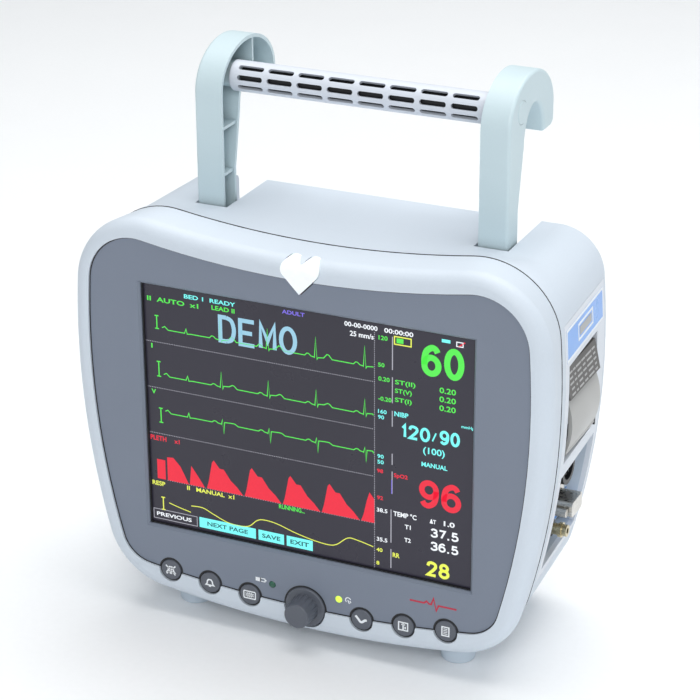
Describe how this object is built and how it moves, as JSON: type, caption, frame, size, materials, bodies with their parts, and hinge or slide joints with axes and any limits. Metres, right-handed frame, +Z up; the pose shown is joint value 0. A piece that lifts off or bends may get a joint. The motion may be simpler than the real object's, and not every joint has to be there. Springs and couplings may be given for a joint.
{
  "type": "patient monitor",
  "caption": "Portable bedside patient monitor with a colour screen, round keys, push-and-turn knob, sliding hooked carrying handle and a side strip recorder.",
  "frame": {"origin": "the middle of the bounding box, on the surface that the feet stand on", "axes": "+X to the viewer's right, +Y from the screen to the back, +Z up"},
  "size_m": [0.3026, 0.1496, 0.3444],
  "materials": {
    "casing": "fine texture",
    "side_white": "fine texture",
    "foot_plastic": "matt",
    "grey_panel": "satin",
    "black_plastic": "satin",
    "screen_glass": "anti-glare",
    "module_metal": "plain",
    "lamp_white": "translucent",
    "circuit_board": "lacquered",
    "key_plastic": "satin",
    "bright_metal": "bright",
    "lamp_dark_green": "clear",
    "lamp_lit_green": "clear",
    "handle_mint": "satin",
    "grip_plastic": "satin",
    "rail_plastic": "plain",
    "label_blue": "printed",
    "recorder_grey": "printed",
    "door_grey": "satin",
    "roller_rubber": "matt",
    "paper": "plain paper",
    "tray_plastic": "satin",
    "brass_metal": "plated",
    "screw_metal": "zinc plated"
  },
  "bodies": {
    "monitor": {"alarm_lamp": "lamp_white", "battery_door": "casing", "battery_pack": "black_plastic", "casing_screws": "screw_metal", "chassis": "module_metal", "display_bezel": "black_plastic", "display_glass": "screen_glass", "display_module": "module_metal", "ecg_socket": "black_plastic", "encoder_body": "module_metal", "fascia_panel": "grey_panel", "feet": "foot_plastic", "front_casing": "casing", "fuse_holders": "black_plastic", "ground_stud": "brass_metal", "handle_rail_left": "rail_plastic", "handle_rail_right": "rail_plastic", "key_board": "circuit_board", "lamp_battery": "lamp_dark_green", "lamp_mains": "lamp_lit_green", "main_board": "circuit_board", "mains_inlet": "black_plastic", "network_socket": "module_metal", "power_supply": "module_metal", "power_switch": "black_plastic", "pressure_port": "brass_metal", "pressure_pump": "black_plastic", "pressure_valve": "black_plastic", "rear_casing": "casing", "recorder_frame": "black_plastic", "recorder_hinge_pin": "bright_metal", "recorder_motor": "module_metal", "recorder_top": "recorder_grey", "side_label": "label_blue", "side_panel": "side_white", "socket_tray": "tray_plastic", "speaker": "black_plastic", "spo2_socket": "bright_metal", "temp_sockets": "black_plastic", "thermal_head": "module_metal"},
    "handle": {"handle_post_right": "handle_mint", "handle_post_left": "handle_mint", "handle_grip": "grip_plastic", "grip_tie_rod": "black_plastic", "post_cap_right": "handle_mint", "post_cap_left": "handle_mint"},
    "knob_plunger": {"encoder_plunger": "bright_metal"},
    "turning_knob": {"knob": "key_plastic", "encoder_shaft": "bright_metal"},
    "paper_door": {"recorder_door": "door_grey"},
    "feed_roller": {"recorder_roller": "roller_rubber"},
    "paper": {"paper_roll": "paper", "paper_spool": "rail_plastic"},
    "rocker": {"power_rocker": "black_plastic"},
    "key_mute_body": {"key_mute": "key_plastic"},
    "key_alarm_body": {"key_alarm": "key_plastic"},
    "key_freeze_body": {"key_freeze": "key_plastic"},
    "key_pressure_body": {"key_pressure": "key_plastic"},
    "key_leads_body": {"key_leads": "key_plastic"},
    "key_report_body": {"key_report": "key_plastic"}
  },
  "joints": [
    {"name": "handle_slide", "type": "slide", "parent": "monitor", "child": "handle", "axis": [0, 0, 1], "range_m": [-0.059, 0]},
    {"name": "key_mute_press", "type": "slide", "parent": "monitor", "child": "key_mute_body", "axis": [0, 1, 0], "range_m": [0, 0.0008], "stiffness_N_per_m": 800},
    {"name": "key_alarm_press", "type": "slide", "parent": "monitor", "child": "key_alarm_body", "axis": [0, 1, 0], "range_m": [0, 0.0008], "stiffness_N_per_m": 800},
    {"name": "key_freeze_press", "type": "slide", "parent": "monitor", "child": "key_freeze_body", "axis": [0, 1, 0], "range_m": [0, 0.0008], "stiffness_N_per_m": 800},
    {"name": "key_pressure_press", "type": "slide", "parent": "monitor", "child": "key_pressure_body", "axis": [0, 1, 0], "range_m": [0, 0.0008], "stiffness_N_per_m": 800},
    {"name": "key_leads_press", "type": "slide", "parent": "monitor", "child": "key_leads_body", "axis": [0, 1, 0], "range_m": [0, 0.0008], "stiffness_N_per_m": 800},
    {"name": "key_report_press", "type": "slide", "parent": "monitor", "child": "key_report_body", "axis": [0, 1, 0], "range_m": [0, 0.0008], "stiffness_N_per_m": 800},
    {"name": "knob_press", "type": "slide", "parent": "monitor", "child": "knob_plunger", "axis": [0, 1, 0], "range_m": [0, 0.0006], "stiffness_N_per_m": 1500},
    {"name": "knob_turn", "type": "hinge", "parent": "knob_plunger", "child": "turning_knob", "pos_m": [0, -0.0612, 0.0267], "axis": [0, 1, 0], "continuous": true},
    {"name": "paper_door_hinge", "type": "hinge", "parent": "monitor", "child": "paper_door", "pos_m": [0.1422, 0.0103, 0.1356], "axis": [0, 1, 0], "range_deg": [0, 75]},
    {"name": "paper_turn", "type": "hinge", "parent": "monitor", "child": "paper", "pos_m": [0.1245, 0.0103, 0.15], "axis": [0, 1, 0], "continuous": true},
    {"name": "feed_roller_turn", "type": "hinge", "parent": "monitor", "child": "feed_roller", "pos_m": [0.136, 0.0103, 0.1725], "axis": [0, 1, 0], "continuous": true},
    {"name": "power_rocker_tip", "type": "hinge", "parent": "monitor", "child": "rocker", "pos_m": [-0.054, 0.0589, 0.04], "axis": [1, 0, 0], "range_deg": [0, 18]}
  ],
  "couplings": [
    {"joint": "feed_roller_turn", "follows": "paper_turn", "ratio": 4.1176}
  ]
}
